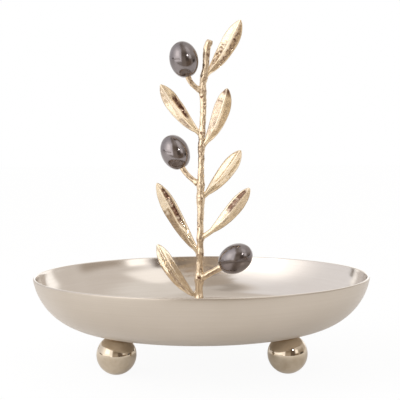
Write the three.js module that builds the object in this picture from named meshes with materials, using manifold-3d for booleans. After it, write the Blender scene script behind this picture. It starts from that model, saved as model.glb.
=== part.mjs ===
// Round serving dish on three ball feet, with a cast olive branch standing in its middle.
// Millimetres, +Z up. The origin is on the table under the dish's axis, and the front faces -Y.

import * as THREE from 'three';
import { mergeVertices } from 'three/addons/utils/BufferGeometryUtils.js';
import Module from 'manifold-3d';

const wasm = await Module();
wasm.setup();

// Fits between the pieces
const SEAT_GAP = 0.3; // between faces that rest on each other
const BORE_CLEARANCE = 0.3; // round a stud, screw or peg in its hole, on the radius

// Dish: a spun shell whose section is a tight side arc that runs into a wide floor arc
const DISH_DIAMETER = 165;
const DISH_WALL = 1.2;
const SIDE_ARC_RADIUS = 29;
const FLOOR_ARC_RADIUS = 335;
const RIM_LEAN = 9.6; // degrees from upright at the rim
const DISH_SEGMENTS = 72;
const SIDE_ARC_STEPS = 8;
const FLOOR_ARC_STEPS = 4;
const LIP_STEPS = 4;

// Feet: polished balls on studs that are welded square to the dish's underside
const FOOT_ANGLES = { front_left: 210, front_right: 330, rear: 90 }; // degrees from +X
const FOOT_CIRCLE_RADIUS = 46.8;
const BALL_DIAMETER = 19.05;
const BALL_TABLE_FACE_DIAMETER = 4.4;
const BALL_SEAT_RIM = 1.75; // width of the seat face round the flange's recess
const BALL_SEGMENTS = 24;
const BALL_ARC_STEPS = 11;
const STUD_DIAMETER = 3;
const STUD_LENGTH = 8;
const STUD_FLANGE_DIAMETER = 4.2;
const STUD_FLANGE_THICKNESS = 0.7;

// Screw and washer that hold the branch from under the dish
const SCREW_DIAMETER = 3;
const SCREW_GRIP = 5.5; // length of thread inside the branch
const SCREW_HEAD_DIAMETER = 6;
const SCREW_HEAD_HEIGHT = 2.2;
const SCREW_HEAD_EDGE = 0.6; // rounding of the head's lower edge
const SCREW_SLOT_WIDTH = 0.9;
const SCREW_SLOT_DEPTH = 1.2;
const WASHER_DIAMETER = 10;
const WASHER_THICKNESS = 1;
const HARDWARE_SEGMENTS = 16;

// Stem: one cast twig, flared at its foot and blunt at its tip
const STEM_HEIGHT = 143.4;
const STEM_DIAMETER = 2.9;
const STEM_FOOT_DIAMETER = 7.6;
const STEM_FLARE_HEIGHT = 7;
const STEM_KNOT_RISE = 0.3; // swelling where a leaf or stalk springs
const STEM_KNOT_LENGTH = 2.4;
const STEM_TIP_SWELL = 0.3; // extra radius near the blunt tip
const STEM_TIP_SWELL_LENGTH = 22;
const STEM_TIP_ROUNDING = 1.4; // length over which the tip rounds off
const STEM_TIP_BLUNTNESS = 0.7; // radius left at the very end, as a share
const STEM_BARK_RELIEF = 0.1;
const STEM_BARK_RIDGES = 3;
const STEM_BARK_PITCH = 17;
const STEM_RINGS = 54;
const STEM_SIDES = 10;

// The stem's wander: x to the right and y to the back, at shares of its height
const STEM_BENDS = [
  { share: 0, x: 0, y: 0 },
  { share: 0.04, x: 0, y: 0 },
  { share: 0.1, x: -1.2, y: 0 },
  { share: 0.29, x: -0.5, y: -0.6 },
  { share: 0.47, x: -0.1, y: 0.3 },
  { share: 0.66, x: 0.6, y: -0.4 },
  { share: 0.77, x: 1.5, y: 0 },
  { share: 0.85, x: 1.4, y: 0.3 },
  { share: 0.91, x: 2.8, y: 0 },
  { share: 0.97, x: 3.5, y: -0.3 },
  { share: 1, x: 5, y: -0.3 },
];

// Leaves: folded blades on short petioles that are brazed round the stem
const PETIOLE_WIDTH = 2.2;
const PETIOLE_THICKNESS = 1.8;
const LEAF_WIDEST_SHARE = 0.68;
const LEAF_BASE_FULLNESS = 0.85; // powers that shape the two ends of the outline: lower is fuller
const LEAF_TIP_FULLNESS = 0.75;
const LEAF_OPENING_LENGTH = 8; // from the petiole to where the fold is fully open
const LEAF_TIP_WIDTH = 0.5;
const LEAF_EDGE_THICKNESS = 0.8;
const LEAF_RIB_THICKNESS = 1.7;
const LEAF_RIB_SHARE = 0.3; // part of the half width that the midrib takes up
const LEAF_BOW_SHARE = 0.3; // how far along its length a leaf bows out most
const LEAF_HOOK_SHARE = 0.22; // how far along its length a leaf's hook runs out
const LEAF_COLUMNS = 6;
const LEAF_ROWS = 12;

// station: share of the stem's length, turn: degrees round the stem from +X, rise: degrees above level,
// bow: sideways pull on the midrib, lift: curl of the tip to the front, roll and fold: degrees of the blade,
// hook: how much higher the petiole starts on the stem than the midrib's own line
const LEAVES = [
  { name: 'leaf_top_right', station: 0.874, turn: 10, rise: 56.2, length: 33.4, width: 8.2,
    petiole: 3.6, bow: 3.2, lift: 2, roll: -2, fold: -22, hook: 0 },
  { name: 'leaf_upper_right', station: 0.634, turn: -13, rise: 65, length: 31.4, width: 8.2,
    petiole: 4, bow: 4.4, lift: -1.5, roll: -2, fold: -18, hook: 0 },
  { name: 'leaf_middle_right', station: 0.456, turn: 12, rise: 49, length: 31.4, width: 7.8,
    petiole: 4.4, bow: 2.4, lift: 2, roll: -4, fold: -22, hook: 0 },
  { name: 'leaf_lower_right', station: 0.32, turn: -10, rise: 45.2, length: 35, width: 7.2,
    petiole: 7, bow: 4, lift: 1.5, roll: -3, fold: -22, hook: 0 },
  { name: 'leaf_upper_left', station: 0.676, turn: 190, rise: 50.4, length: 32.3, width: 7.8,
    petiole: 3.6, bow: 3.4, lift: -8, roll: -6, fold: -18, hook: 0 },
  { name: 'leaf_middle_left', station: 0.264, turn: 170, rise: 58.8, length: 41.4, width: 7.8,
    petiole: 4, bow: 2.6, lift: 2, roll: -4, fold: -20, hook: 0 },
  { name: 'leaf_bottom_left', station: 0.108, turn: 188, rise: 52.2, length: 34, width: 7.8,
    petiole: 5, bow: 4, lift: -8, roll: -16, fold: 10, hook: 5.2 },
];

// Olives: smooth ovals, each bored for the peg at the end of its stalk
const OLIVE_LENGTH = 18.1;
const OLIVE_DIAMETER = 14.2;
const OLIVE_SEGMENTS = 20;
const OLIVE_ARC_STEPS = 12;
const STALK_DIAMETER = 2.6;
const STALK_BEND = 4.2; // length over which a stalk turns into line with its olive
const STALK_RINGS = 8;
const STALK_SIDES = 8;
const PEG_DIAMETER = 1.5;
const PEG_LENGTH = 4;
const PEG_SIDES = 8;

// reach and climb: from the stem's middle to the olive's end, tilt: degrees of the olive above level
const OLIVES = [
  { name: 'upper', station: 0.824, turn: 196, reach: 7.4, climb: 6.5, tilt: 76.4 },
  { name: 'middle', station: 0.502, turn: 168, reach: 9.1, climb: 8.1, tilt: 65.5 },
  { name: 'lower', station: 0.178, turn: -14, reach: 10.7, climb: 5.8, tilt: 31 },
];

// Finishes
const SATIN_NICKEL = metal(0xc6bbac, 0.35);
const POLISHED_NICKEL = metal(0xbcad99, 0.06);
const PALE_GOLD = metal(0xe6d2b2, 0.22);
const BLACK_NICKEL = metal(0x857c78, 0.14);
const PLAIN_STEEL = metal(0x9a9a98, 0.4);

// Sizes that follow from the ones above
const WELD_DISTANCE = 1e-4; // vertices nearer than this are one vertex
const rimLean = THREE.MathUtils.degToRad(RIM_LEAN);
const ballRadius = BALL_DIAMETER / 2;
const seatRecessRadius = STUD_FLANGE_DIAMETER / 2 + BORE_CLEARANCE;
const seatFaceRadius = seatRecessRadius + BALL_SEAT_RIM;
const seatHeight = Math.sqrt(ballRadius ** 2 - seatFaceRadius ** 2); // ball's middle to its seat face
const standHeight = Math.sqrt(ballRadius ** 2 - (BALL_TABLE_FACE_DIAMETER / 2) ** 2);
const footArcRadius = FLOOR_ARC_RADIUS + SEAT_GAP + seatHeight; // floor arc's middle to a ball's middle
const footTilt = Math.asin(FOOT_CIRCLE_RADIUS / footArcRadius);
const floorArcHeight = standHeight + footArcRadius * Math.cos(footTilt);
const lipArcRadius = SIDE_ARC_RADIUS - DISH_WALL / 2; // side arc's middle to the lip's middle
const sideArcCentre = (DISH_DIAMETER - DISH_WALL) / 2 - lipArcRadius * Math.cos(rimLean);
const arcMeeting = Math.acos(sideArcCentre / (FLOOR_ARC_RADIUS - SIDE_ARC_RADIUS));
const sideArcHeight = floorArcHeight - (FLOOR_ARC_RADIUS - SIDE_ARC_RADIUS) * Math.sin(arcMeeting);
const undersideHeight = floorArcHeight - FLOOR_ARC_RADIUS;
const screwHoleRadius = SCREW_DIAMETER / 2 + BORE_CLEARANCE;
const stemBase = undersideHeight + DISH_WALL + SEAT_GAP;
const stemCurve = new THREE.CatmullRomCurve3(
  STEM_BENDS.map(({ share, x, y }) => new THREE.Vector3(x, y, stemBase + share * STEM_HEIGHT)),
);
const springingShares = [...LEAVES, ...OLIVES].map(({ station }) => station);

function metal(color, roughness) {
  return new THREE.MeshStandardMaterial({ color, roughness, metalness: 1 });
}

function named(name, geometry, material) {
  const mesh = new THREE.Mesh(geometry, material);
  mesh.name = name;
  return mesh;
}

// A geometry with its seams welded and its collapsed triangles dropped
function closed(geometry) {
  const bare = geometry.clone();
  bare.deleteAttribute('normal');
  bare.deleteAttribute('uv');
  const welded = mergeVertices(bare, WELD_DISTANCE);
  const corners = welded.index.array;
  const kept = [];
  for (let i = 0; i < corners.length; i += 3) {
    const [a, b, c] = corners.slice(i, i + 3);
    if (a !== b && b !== c && c !== a) kept.push(a, b, c);
  }
  welded.setIndex(kept);
  return welded;
}

function solidOf(geometry) {
  const welded = closed(geometry);
  return new wasm.Manifold(new wasm.Mesh({
    numProp: 3,
    vertProperties: Float32Array.from(welded.attributes.position.array),
    triVerts: Uint32Array.from(welded.index.array),
  }));
}

function geometryOf(solid) {
  const { vertProperties, triVerts } = solid.getMesh();
  const geometry = new THREE.BufferGeometry();
  geometry.setAttribute('position', new THREE.BufferAttribute(vertProperties, 3));
  geometry.setIndex(new THREE.BufferAttribute(triVerts, 1));
  return geometry;
}

// A closed section of [radius, height] points turned about the upright axis
function turned(section, segments) {
  const points = section.map(([radius, height]) => new THREE.Vector2(radius, height));
  return closed(new THREE.LatheGeometry(points, segments).rotateX(Math.PI / 2));
}

// Points on an arc, with angles measured from level upwards
function arc(centre, radius, from, to, steps) {
  return Array.from({ length: steps + 1 }, (_, i) => {
    const angle = from + ((to - from) * i) / steps;
    return [centre[0] + radius * Math.cos(angle), centre[1] + radius * Math.sin(angle)];
  });
}

function moveVertices(geometry, place) {
  const position = geometry.attributes.position;
  for (let i = 0; i < position.count; i += 1) {
    const { x, y, z } = place(position.getX(i), position.getY(i), position.getZ(i));
    position.setXYZ(i, x, y, z);
  }
  return geometry;
}

// The point of a curve with three square directions: along it, facing the front, and across
function frameAt(curve, share, roll = 0) {
  const along = curve.getTangentAt(share);
  const front = new THREE.Vector3(0, -1, 0);
  front.addScaledVector(along, -front.dot(along)).normalize().applyAxisAngle(along, roll);
  const across = new THREE.Vector3().crossVectors(along, front);
  return { point: curve.getPointAt(share), along, front, across };
}

// A round limb along a curve, whose radius depends on the share of its length and the angle round it
function limb(curve, radiusAt, rings, sides) {
  const tube = new THREE.CylinderGeometry(1, 1, 1, sides, rings);
  return moveVertices(tube, (x, y, z) => {
    const share = y + 0.5;
    const { point, across, front } = frameAt(curve, share);
    const radius = radiusAt(share, Math.atan2(z, x));
    return point.addScaledVector(across, x * radius).addScaledVector(front, z * radius);
  });
}

// Outward level direction of a piece that springs from the stem
function outward(turn) {
  const angle = THREE.MathUtils.degToRad(turn);
  return new THREE.Vector3(Math.cos(angle), Math.sin(angle), 0);
}

// A direction that rises from an outward one by an angle in degrees
function rising(turn, rise) {
  const angle = THREE.MathUtils.degToRad(rise);
  return outward(turn).multiplyScalar(Math.cos(angle)).setZ(Math.sin(angle));
}

function makeDish() {
  const side = [sideArcCentre, sideArcHeight];
  const floor = [0, floorArcHeight];
  const innerSide = SIDE_ARC_RADIUS - DISH_WALL;
  const innerFloor = FLOOR_ARC_RADIUS - DISH_WALL;
  const lip = [side[0] + lipArcRadius * Math.cos(rimLean), side[1] - lipArcRadius * Math.sin(rimLean)];
  const outerHole = -Math.acos(screwHoleRadius / FLOOR_ARC_RADIUS);
  const innerHole = -Math.acos(screwHoleRadius / innerFloor);
  const section = [
    ...arc(floor, FLOOR_ARC_RADIUS, outerHole, -arcMeeting, FLOOR_ARC_STEPS),
    ...arc(side, SIDE_ARC_RADIUS, -arcMeeting, -rimLean, SIDE_ARC_STEPS).slice(1),
    ...arc(lip, DISH_WALL / 2, -rimLean, Math.PI - rimLean, LIP_STEPS).slice(1),
    ...arc(side, innerSide, -rimLean, -arcMeeting, SIDE_ARC_STEPS).slice(1),
    ...arc(floor, innerFloor, -arcMeeting, innerHole, FLOOR_ARC_STEPS).slice(1),
  ];
  return named('dish', turned([...section, section[0]], DISH_SEGMENTS), SATIN_NICKEL);
}

// A ball about its own middle, bored and faced towards the dish and flat where it stands
function ballGeometry() {
  const boreRadius = STUD_DIAMETER / 2 + BORE_CLEARANCE;
  const recessFloor = seatHeight - STUD_FLANGE_THICKNESS - SEAT_GAP;
  const boreFloor = recessFloor - STUD_LENGTH;
  const seatAngle = Math.acos(seatFaceRadius / ballRadius);
  const ball = turned([
    [0, -ballRadius],
    ...arc([0, 0], ballRadius, -Math.PI / 2, seatAngle, BALL_ARC_STEPS).slice(1),
    [seatRecessRadius, seatHeight],
    [seatRecessRadius, recessFloor],
    [boreRadius, recessFloor],
    [boreRadius, boreFloor],
    [0, boreFloor],
  ], BALL_SEGMENTS);
  const belowTable = new THREE.BoxGeometry(BALL_DIAMETER, BALL_DIAMETER, ballRadius);
  belowTable.translate(0, 0, -standHeight - ballRadius / 2);
  return geometryOf(solidOf(ball.rotateY(-footTilt)).subtract(solidOf(belowTable)));
}

// A welded stud about its ball's middle, with its flange against the dish
function studGeometry() {
  const flangeFloor = seatHeight - STUD_FLANGE_THICKNESS;
  const tip = flangeFloor - STUD_LENGTH;
  return turned([
    [0, tip],
    [STUD_DIAMETER / 2, tip],
    [STUD_DIAMETER / 2, flangeFloor],
    [STUD_FLANGE_DIAMETER / 2, flangeFloor],
    [STUD_FLANGE_DIAMETER / 2, seatHeight],
    [0, seatHeight],
  ], HARDWARE_SEGMENTS).rotateY(-footTilt);
}

function makeFoot(place, angle) {
  const foot = new THREE.Group();
  foot.rotation.z = THREE.MathUtils.degToRad(angle);
  const ball = named(`ball_foot_${place}`, ballGeometry(), POLISHED_NICKEL);
  const stud = named(`foot_stud_${place}`, studGeometry(), PLAIN_STEEL);
  for (const piece of [ball, stud]) {
    piece.position.set(FOOT_CIRCLE_RADIUS, 0, standHeight);
    foot.add(piece);
  }
  return foot;
}

// The stem's radius, with its flared foot, the knots where pieces spring, the bark and the round tip
function stemRadius(share, angle) {
  const height = share * STEM_HEIGHT;
  const flare = ((STEM_FOOT_DIAMETER - STEM_DIAMETER) / 2) * Math.exp(-height / STEM_FLARE_HEIGHT);
  const knots = springingShares.map((station) => {
    const distance = ((share - station) * STEM_HEIGHT) / STEM_KNOT_LENGTH;
    return STEM_KNOT_RISE * Math.exp(-(distance ** 2));
  });
  const twist = (2 * Math.PI * height) / STEM_BARK_PITCH;
  const bark = STEM_BARK_RELIEF * Math.cos(STEM_BARK_RIDGES * angle + twist);
  const swell = STEM_TIP_SWELL * Math.exp((height - STEM_HEIGHT) / STEM_TIP_SWELL_LENGTH);
  const radius = STEM_DIAMETER / 2 + flare + Math.max(...knots) + swell + bark;
  const pastTip = Math.max(0, 1 - (STEM_HEIGHT - height) / STEM_TIP_ROUNDING);
  return radius * (1 - (1 - STEM_TIP_BLUNTNESS) * pastTip ** 2);
}

// The stem's outside, grown by a clearance where it shapes the seats of other pieces
function stemSolid(clearance) {
  const radiusAt = (share, angle) => stemRadius(share, angle) + clearance;
  return solidOf(limb(stemCurve, radiusAt, STEM_RINGS, STEM_SIDES));
}

function makeStem() {
  const depth = SCREW_GRIP + SEAT_GAP;
  const bore = new THREE.CylinderGeometry(screwHoleRadius, screwHoleRadius, 2 * depth, HARDWARE_SEGMENTS);
  bore.rotateX(Math.PI / 2).translate(0, 0, stemBase);
  return named('branch_stem', geometryOf(stemSolid(0).subtract(solidOf(bore))), PALE_GOLD);
}

// A leaf's half width at a share of its length: petiole, swelling blade and rounded point
function leafHalfWidth(share, { length, width, petiole }) {
  const petioleEnd = petiole / length;
  const narrow = PETIOLE_WIDTH / 2;
  if (share < petioleEnd) return narrow;
  if (share < LEAF_WIDEST_SHARE) {
    const along = (share - petioleEnd) / (LEAF_WIDEST_SHARE - petioleEnd);
    return narrow + (width / 2 - narrow) * Math.sin((Math.PI / 2) * along ** LEAF_BASE_FULLNESS);
  }
  const along = (share - LEAF_WIDEST_SHARE) / (1 - LEAF_WIDEST_SHARE);
  return LEAF_TIP_WIDTH / 2 + ((width - LEAF_TIP_WIDTH) / 2) * (1 - along ** 2) ** LEAF_TIP_FULLNESS;
}

// A bowed line whose start is drawn up into a hook
class HookedBow extends THREE.QuadraticBezierCurve3 {
  constructor(start, bend, tip, hook) {
    super(start, bend, tip);
    this.hook = hook;
  }

  getPoint(t, target) {
    const point = super.getPoint(t, target);
    point.z += this.hook * Math.max(0, 1 - t / LEAF_HOOK_SHARE) ** 2;
    return point;
  }
}

// A leaf's midrib, from the stem's middle to the leaf's tip
function leafCurve({ station, turn, rise, length, bow, lift, hook }) {
  const start = stemCurve.getPointAt(station);
  const chord = rising(turn, rise);
  const outwards = rising(turn, rise - 90);
  const bend = start.clone().addScaledVector(chord, LEAF_BOW_SHARE * length).addScaledVector(outwards, bow);
  const tip = start.clone().addScaledVector(chord, length);
  tip.y -= lift;
  return new HookedBow(start, bend, tip, hook);
}

function makeLeaf(leaf, stemSeat) {
  const curve = leafCurve(leaf);
  const roll = THREE.MathUtils.degToRad(leaf.roll);
  const slope = Math.tan(THREE.MathUtils.degToRad(leaf.fold));
  const blade = new THREE.BoxGeometry(2, 1, 1, LEAF_COLUMNS, LEAF_ROWS, 1);
  moveVertices(blade, (x, y, z) => {
    const share = y + 0.5;
    const { point, across, front } = frameAt(curve, share, roll);
    const sideways = x * leafHalfWidth(share, leaf);
    const bladeLength = share * leaf.length - leaf.petiole;
    const open = THREE.MathUtils.smoothstep(bladeLength, 0, LEAF_OPENING_LENGTH);
    const rib = Math.max(0, 1 - Math.abs(x) / LEAF_RIB_SHARE);
    const bladeThickness = THREE.MathUtils.lerp(LEAF_EDGE_THICKNESS, LEAF_RIB_THICKNESS, rib);
    const thickness = THREE.MathUtils.lerp(PETIOLE_THICKNESS, bladeThickness, open);
    const height = open * slope * Math.abs(sideways) + z * thickness;
    return point.addScaledVector(across, sideways).addScaledVector(front, height);
  });
  return named(leaf.name, geometryOf(solidOf(blade).subtract(stemSeat)), PALE_GOLD);
}

// An olive along +Z with its stalk end at the origin
function oliveGeometry() {
  const boreRadius = PEG_DIAMETER / 2 + BORE_CLEARANCE;
  const boreFloor = PEG_LENGTH + SEAT_GAP;
  const mouth = Math.acos(boreRadius / (OLIVE_DIAMETER / 2));
  const outside = arc([0, 0], 1, -mouth, Math.PI / 2, OLIVE_ARC_STEPS).map(([across, along]) => [
    (across * OLIVE_DIAMETER) / 2,
    (along * OLIVE_LENGTH) / 2 + OLIVE_LENGTH / 2,
  ]);
  return turned([[0, boreFloor], [boreRadius, boreFloor], ...outside], OLIVE_SEGMENTS);
}

// A stalk from the stem to its olive, ending in the peg that the olive is fixed on
function stalkGeometry(start, end, axis, stemSeat) {
  const stop = end.clone().addScaledVector(axis, -SEAT_GAP);
  const bend = end.clone().addScaledVector(axis, -STALK_BEND);
  const curve = new THREE.QuadraticBezierCurve3(start, bend, stop);
  const stalk = solidOf(limb(curve, () => STALK_DIAMETER / 2, STALK_RINGS, STALK_SIDES));
  const pegLength = PEG_LENGTH + STALK_DIAMETER;
  const peg = new THREE.CylinderGeometry(PEG_DIAMETER / 2, PEG_DIAMETER / 2, pegLength, PEG_SIDES);
  peg.translate(0, PEG_LENGTH - pegLength / 2, 0);
  peg.applyQuaternion(new THREE.Quaternion().setFromUnitVectors(new THREE.Vector3(0, 1, 0), axis));
  peg.translate(end.x, end.y, end.z);
  return geometryOf(stalk.subtract(stemSeat).add(solidOf(peg)));
}

function makeOlive({ name, station, turn, reach, climb, tilt }, stemSeat) {
  const start = stemCurve.getPointAt(station);
  const end = start.clone().addScaledVector(outward(turn), reach);
  end.z += climb;
  const axis = rising(turn, tilt);
  const olive = named(`olive_${name}`, oliveGeometry(), BLACK_NICKEL);
  olive.position.copy(end);
  olive.quaternion.setFromUnitVectors(new THREE.Vector3(0, 0, 1), axis);
  const stalk = named(`olive_stalk_${name}`, stalkGeometry(start, end, axis, stemSeat), PALE_GOLD);
  const cluster = new THREE.Group();
  cluster.add(olive, stalk);
  return cluster;
}

function makeWasher() {
  const top = undersideHeight - SEAT_GAP;
  const section = [
    [screwHoleRadius, top],
    [screwHoleRadius, top - WASHER_THICKNESS],
    [WASHER_DIAMETER / 2, top - WASHER_THICKNESS],
    [WASHER_DIAMETER / 2, top],
    [screwHoleRadius, top],
  ];
  return named('branch_washer', turned(section, HARDWARE_SEGMENTS), PLAIN_STEEL);
}

function makeScrew() {
  const headTop = undersideHeight - 2 * SEAT_GAP - WASHER_THICKNESS;
  const headBottom = headTop - SCREW_HEAD_HEIGHT;
  const headRadius = SCREW_HEAD_DIAMETER / 2;
  const tip = stemBase + SCREW_GRIP;
  const body = turned([
    [0, headBottom],
    [headRadius - SCREW_HEAD_EDGE, headBottom],
    [headRadius, headBottom + SCREW_HEAD_EDGE],
    [headRadius, headTop],
    [SCREW_DIAMETER / 2, headTop],
    [SCREW_DIAMETER / 2, tip],
    [0, tip],
  ], HARDWARE_SEGMENTS);
  const slot = new THREE.BoxGeometry(2 * SCREW_HEAD_DIAMETER, SCREW_SLOT_WIDTH, 2 * SCREW_SLOT_DEPTH);
  slot.translate(0, 0, headBottom);
  return named('branch_screw', geometryOf(solidOf(body).subtract(solidOf(slot))), PLAIN_STEEL);
}

const stemSeat = stemSolid(SEAT_GAP);
const servingDish = new THREE.Group();
servingDish.add(makeDish(), makeStem(), makeWasher(), makeScrew());
for (const [place, angle] of Object.entries(FOOT_ANGLES)) servingDish.add(makeFoot(place, angle));
for (const leaf of LEAVES) servingDish.add(makeLeaf(leaf, stemSeat));
for (const olive of OLIVES) servingDish.add(makeOlive(olive, stemSeat));

export default servingDish;
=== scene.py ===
"""Looks of a footed serving dish with a cast olive branch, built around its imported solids."""

import logging
import math
from dataclasses import dataclass, field
from enum import Enum
from typing import Callable

import bmesh
import bpy
from mathutils import Matrix, Vector, noise


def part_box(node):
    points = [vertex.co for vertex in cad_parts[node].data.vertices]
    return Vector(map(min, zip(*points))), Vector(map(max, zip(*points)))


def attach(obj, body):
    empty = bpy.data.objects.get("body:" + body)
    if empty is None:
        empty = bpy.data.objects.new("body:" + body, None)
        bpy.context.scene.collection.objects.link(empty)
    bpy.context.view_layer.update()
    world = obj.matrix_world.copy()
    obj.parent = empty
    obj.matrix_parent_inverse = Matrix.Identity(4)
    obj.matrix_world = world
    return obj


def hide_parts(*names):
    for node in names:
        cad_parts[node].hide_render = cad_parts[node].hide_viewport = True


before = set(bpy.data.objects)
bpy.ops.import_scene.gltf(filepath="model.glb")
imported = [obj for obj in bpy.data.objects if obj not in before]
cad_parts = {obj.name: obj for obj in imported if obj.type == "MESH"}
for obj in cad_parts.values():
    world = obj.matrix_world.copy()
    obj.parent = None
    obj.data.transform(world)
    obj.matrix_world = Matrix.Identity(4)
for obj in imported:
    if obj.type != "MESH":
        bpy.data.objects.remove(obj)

LOG = logging.getLogger("serving_dish")
MM = 0.001
JOINT_GAP = 0.3  # millimetres left between solids for weld, braze or glue
SHARP_ANGLE = math.radians(40)
MERGE_DISTANCE = 1e-7
CUT_TOLERANCE = 1e-5
SHARE_DIGITS = 6

Socket = bpy.types.NodeSocket
Colour = tuple[float, float, float, float]
Line = Callable[[float], Vector]
LimbShape = Callable[[float, float], tuple[float, float]]


class Slot(Enum):
    """The record's material slots of the pieces that are made here."""

    SATIN_NICKEL = "satin_nickel"
    POLISHED_NICKEL = "polished_nickel"
    PALE_GOLD = "pale_gold"
    BLACK_NICKEL = "black_nickel"


class Grain(Enum):
    """How a metal's surface was worked."""

    TURNED = "fine rings from the spinning lathe"
    CAST = "pits and ripples of a polished casting"
    MIRROR = "faint haze of a buffed mirror"


def linear(hex_colour: int) -> Colour:
    """Converts a screen colour to the linear values that shaders take.

    Args:
        hex_colour: colour as 0xRRGGBB.

    Returns:
        Red, green, blue and alpha in linear light.
    """
    shares = [((hex_colour >> shift) & 255) / 255 for shift in (16, 8, 0)]
    red, green, blue = (s / 12.92 if s <= 0.04045 else ((s + 0.055) / 1.055) ** 2.4 for s in shares)
    return red, green, blue, 1.0


def blend(start: float, end: float, share: float) -> float:
    """Value at a share of the way from start to end."""
    return start + (end - start) * share


def ease(value: float, low: float, high: float) -> float:
    """Smooth step from 0 at low to 1 at high."""
    share = min(1.0, max(0.0, (value - low) / (high - low)))
    return share * share * (3 - 2 * share)


def bell(distance: float, width: float) -> float:
    """Smooth bell: 1 at no distance, fading over a width."""
    return math.exp(-(distance / width) ** 2)


class Graph:
    """A node tree that is written from its sources towards its output."""

    def __init__(self, tree: bpy.types.NodeTree) -> None:
        """Empties the tree and keeps it."""
        self.tree = tree
        tree.nodes.clear()

    def add(self, kind: str, inputs: dict, **settings: object) -> bpy.types.Node:
        """Adds a node.

        Args:
            kind: the node's type.
            inputs: values or sockets by input name or index.
            settings: the node's own properties.

        Returns:
            The new node.
        """
        node = self.tree.nodes.new(kind)
        for key, value in settings.items():
            setattr(node, key, value)
        for key, value in inputs.items():
            if isinstance(value, bpy.types.NodeSocket):
                self.tree.links.new(value, node.inputs[key])
            else:
                node.inputs[key].default_value = value
        return node

    def math(self, operation: str, *values: object) -> Socket:
        """Result of a Math node on one or more values or sockets."""
        return self.add("ShaderNodeMath", dict(enumerate(values)), operation=operation).outputs[0]

    def step(self, value: Socket, low: float, high: float) -> Socket:
        """Smooth step of a socket from 0 at low to 1 at high."""
        limits = {"Value": value, "From Min": low, "From Max": high}
        return self.add("ShaderNodeMapRange", limits, interpolation_type="SMOOTHSTEP").outputs["Result"]

    def spread(self, value: Socket, low: float, high: float) -> Socket:
        """Stretches a socket that runs from 0 to 1 over another span."""
        limits = {"Value": value, "To Min": low, "To Max": high}
        return self.add("ShaderNodeMapRange", limits).outputs["Result"]

    def cloud(self, place: Socket, scale: float, detail: float = 2.0) -> Socket:
        """Soft noise at a scale, from 0 to 1."""
        inputs = {"Vector": place, "Scale": scale, "Detail": detail}
        return self.add("ShaderNodeTexNoise", inputs).outputs["Fac"]

    def mix(self, share: Socket, first: object, second: object) -> Socket:
        """Mixes two colours by a share; the node's colour sockets share their names, so they go by index."""
        inputs = {0: share, 6: first, 7: second}
        return self.add("ShaderNodeMix", inputs, data_type="RGBA").outputs[2]

    def attribute(self, name: str) -> Socket:
        """A value that the mesh holds at its vertices."""
        return self.add("ShaderNodeAttribute", {}, attribute_name=name).outputs["Fac"]

    def bump(self, height: Socket, distance: float, strength: float) -> Socket:
        """Surface normal of a height that runs over a distance in metres."""
        inputs = {"Height": height, "Distance": distance, "Strength": strength}
        return self.add("ShaderNodeBump", inputs).outputs["Normal"]


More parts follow.
